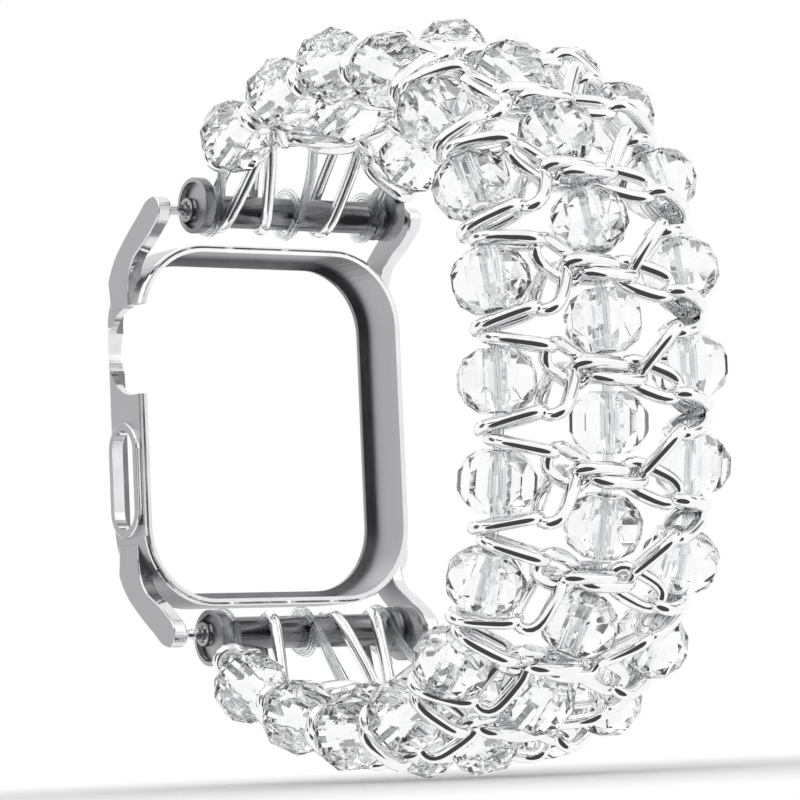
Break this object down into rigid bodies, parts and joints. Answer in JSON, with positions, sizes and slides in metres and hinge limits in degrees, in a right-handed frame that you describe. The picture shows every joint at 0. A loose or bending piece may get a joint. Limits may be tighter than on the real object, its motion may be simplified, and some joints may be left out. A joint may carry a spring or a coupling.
{
  "type": "bead watch band",
  "caption": "Elastic watch band of faceted clear beads between hooked curb chain, pinned by spring bars to a metal case frame that clips round a rounded square watch.",
  "frame": {"origin": "middle of the seat inside the case frame that the watch face rests on", "axes": "+Z towards the twelve o'clock end, +X along the wrist to the right as seen from the band's near side, -Y from the case frame towards the wrist"},
  "size_m": [0.0363, 0.0725, 0.0803],
  "materials": {
    "frame_metal": "satin with bright edges",
    "fitting_metal": "dark polished",
    "bar_metal": "drawn",
    "chain_metal": "polished",
    "bead_clear": "clear faceted",
    "cord_clear": "clear elastic"
  },
  "bodies": {
    "frame": {"case_frame": "frame_metal"},
    "end_upper": {"end_fitting_upper": "fitting_metal", "spring_bar_barrel_upper": "bar_metal", "spring_bar_spring_upper": "bar_metal"},
    "tip_upper_left": {"spring_bar_tip_upper_left": "bar_metal"},
    "tip_upper_right": {"spring_bar_tip_upper_right": "bar_metal"},
    "loops_upper": {"tube_loops_upper": "chain_metal", "chain_end_upper": "chain_metal", "cord_end_upper": "cord_clear", "beads_end_upper": "bead_clear"},
    "row_01": {"chain_row_01": "chain_metal", "beads_row_01": "bead_clear", "cord_row_01": "cord_clear"},
    "row_02": {"chain_row_02": "chain_metal", "beads_row_02": "bead_clear", "cord_row_02": "cord_clear"},
    "row_03": {"chain_row_03": "chain_metal", "beads_row_03": "bead_clear", "cord_row_03": "cord_clear"},
    "row_04": {"chain_row_04": "chain_metal", "beads_row_04": "bead_clear", "cord_row_04": "cord_clear"},
    "row_05": {"chain_row_05": "chain_metal", "beads_row_05": "bead_clear", "cord_row_05": "cord_clear"},
    "row_06": {"chain_row_06": "chain_metal", "beads_row_06": "bead_clear", "cord_row_06": "cord_clear"},
    "row_07": {"chain_row_07": "chain_metal", "beads_row_07": "bead_clear", "cord_row_07": "cord_clear"},
    "row_08": {"chain_row_08": "chain_metal", "beads_row_08": "bead_clear", "cord_row_08": "cord_clear"},
    "row_09": {"chain_row_09": "chain_metal", "beads_row_09": "bead_clear", "cord_row_09": "cord_clear"},
    "row_10": {"chain_row_10": "chain_metal", "beads_row_10": "bead_clear", "cord_row_10": "cord_clear"},
    "row_11": {"chain_row_11": "chain_metal", "beads_row_11": "bead_clear", "cord_row_11": "cord_clear"},
    "row_12": {"chain_row_12": "chain_metal", "beads_row_12": "bead_clear", "cord_row_12": "cord_clear"},
    "row_13": {"chain_row_13": "chain_metal", "beads_row_13": "bead_clear", "cord_row_13": "cord_clear"},
    "row_14": {"chain_row_14": "chain_metal", "beads_row_14": "bead_clear", "cord_row_14": "cord_clear"},
    "loops_lower": {"tube_loops_lower": "chain_metal", "chain_end_lower": "chain_metal", "cord_end_lower": "cord_clear"},
    "end_lower": {"end_fitting_lower": "fitting_metal", "spring_bar_barrel_lower": "bar_metal", "spring_bar_spring_lower": "bar_metal"},
    "tip_lower_left": {"spring_bar_tip_lower_left": "bar_metal"},
    "tip_lower_right": {"spring_bar_tip_lower_right": "bar_metal"}
  },
  "joints": [
    {"name": "end_fitting_upper_turn", "type": "hinge", "parent": "frame", "child": "end_upper", "pos_m": [0, -0.01, 0.0234], "axis": [-1, 0, 0], "range_deg": [0, 25], "stiffness_Nm_per_rad": 0.6},
    {"name": "loops_upper_swing", "type": "hinge", "parent": "end_upper", "child": "loops_upper", "pos_m": [0, -0.01, 0.0234], "axis": [-1, 0, 0], "range_deg": [0, 50], "stiffness_Nm_per_rad": 0.6},
    {"name": "row_01_bend", "type": "hinge", "parent": "loops_upper", "child": "row_01", "pos_m": [0, -0.0188, 0.02976], "axis": [-1, 0, 0], "range_deg": [0, 16.35], "stiffness_Nm_per_rad": 0.6},
    {"name": "row_02_bend", "type": "hinge", "parent": "row_01", "child": "row_02", "pos_m": [0, -0.02823, 0.0331], "axis": [-1, 0, 0], "range_deg": [0, 10], "stiffness_Nm_per_rad": 0.6},
    {"name": "row_03_bend", "type": "hinge", "parent": "row_02", "child": "row_03", "pos_m": [0, -0.03809, 0.03475], "axis": [-1, 0, 0], "range_deg": [0, 20], "stiffness_Nm_per_rad": 0.6},
    {"name": "row_04_bend", "type": "hinge", "parent": "row_03", "child": "row_04", "pos_m": [0, -0.04792, 0.03292], "axis": [-1, 0, 0], "range_deg": [0, 22], "stiffness_Nm_per_rad": 0.6},
    {"name": "row_05_bend", "type": "hinge", "parent": "row_04", "child": "row_05", "pos_m": [0, -0.05636, 0.02755], "axis": [-1, 0, 0], "range_deg": [0, 20], "stiffness_Nm_per_rad": 0.6},
    {"name": "row_06_bend", "type": "hinge", "parent": "row_05", "child": "row_06", "pos_m": [0, -0.06244, 0.01962], "axis": [-1, 0, 0], "range_deg": [0, 22], "stiffness_Nm_per_rad": 0.6},
    {"name": "row_07_bend", "type": "hinge", "parent": "row_06", "child": "row_07", "pos_m": [0, -0.06512, 0.00998], "axis": [-1, 0, 0], "range_deg": [0, 12], "stiffness_Nm_per_rad": 0.6},
    {"name": "row_08_bend", "type": "hinge", "parent": "row_07", "child": "row_08", "pos_m": [0, -0.06573, 0], "axis": [-1, 0, 0], "range_deg": [0, 7], "stiffness_Nm_per_rad": 0.6},
    {"name": "row_09_bend", "type": "hinge", "parent": "row_08", "child": "row_09", "pos_m": [0, -0.06512, -0.00998], "axis": [-1, 0, 0], "range_deg": [0, 12], "stiffness_Nm_per_rad": 0.6},
    {"name": "row_10_bend", "type": "hinge", "parent": "row_09", "child": "row_10", "pos_m": [0, -0.06244, -0.01962], "axis": [-1, 0, 0], "range_deg": [0, 22], "stiffness_Nm_per_rad": 0.6},
    {"name": "row_11_bend", "type": "hinge", "parent": "row_10", "child": "row_11", "pos_m": [0, -0.05636, -0.02755], "axis": [-1, 0, 0], "range_deg": [0, 20], "stiffness_Nm_per_rad": 0.6},
    {"name": "row_12_bend", "type": "hinge", "parent": "row_11", "child": "row_12", "pos_m": [0, -0.04792, -0.03292], "axis": [-1, 0, 0], "range_deg": [0, 22], "stiffness_Nm_per_rad": 0.6},
    {"name": "row_13_bend", "type": "hinge", "parent": "row_12", "child": "row_13", "pos_m": [0, -0.03809, -0.03475], "axis": [-1, 0, 0], "range_deg": [0, 20], "stiffness_Nm_per_rad": 0.6},
    {"name": "row_14_bend", "type": "hinge", "parent": "row_13", "child": "row_14", "pos_m": [0, -0.02823, -0.0331], "axis": [-1, 0, 0], "range_deg": [0, 10], "stiffness_Nm_per_rad": 0.6},
    {"name": "loops_lower_bend", "type": "hinge", "parent": "row_14", "child": "loops_lower", "pos_m": [0, -0.0188, -0.02976], "axis": [-1, 0, 0], "range_deg": [0, 16.35], "stiffness_Nm_per_rad": 0.6},
    {"name": "end_fitting_lower_turn", "type": "hinge", "parent": "loops_lower", "child": "end_lower", "pos_m": [0, -0.01, -0.0234], "axis": [-1, 0, 0], "range_deg": [-30, 25], "stiffness_Nm_per_rad": 0.05},
    {"name": "tip_upper_left_slide", "type": "slide", "parent": "end_upper", "child": "tip_upper_left", "axis": [1, 0, 0], "range_m": [0, 0.0012], "stiffness_N_per_m": 250},
    {"name": "tip_upper_right_slide", "type": "slide", "parent": "end_upper", "child": "tip_upper_right", "axis": [-1, 0, 0], "range_m": [0, 0.0012], "stiffness_N_per_m": 250},
    {"name": "tip_lower_left_slide", "type": "slide", "parent": "end_lower", "child": "tip_lower_left", "axis": [-1, 0, 0], "range_m": [0, 0.0012], "stiffness_N_per_m": 250},
    {"name": "tip_lower_right_slide", "type": "slide", "parent": "end_lower", "child": "tip_lower_right", "axis": [1, 0, 0], "range_m": [0, 0.0012], "stiffness_N_per_m": 250}
  ]
}
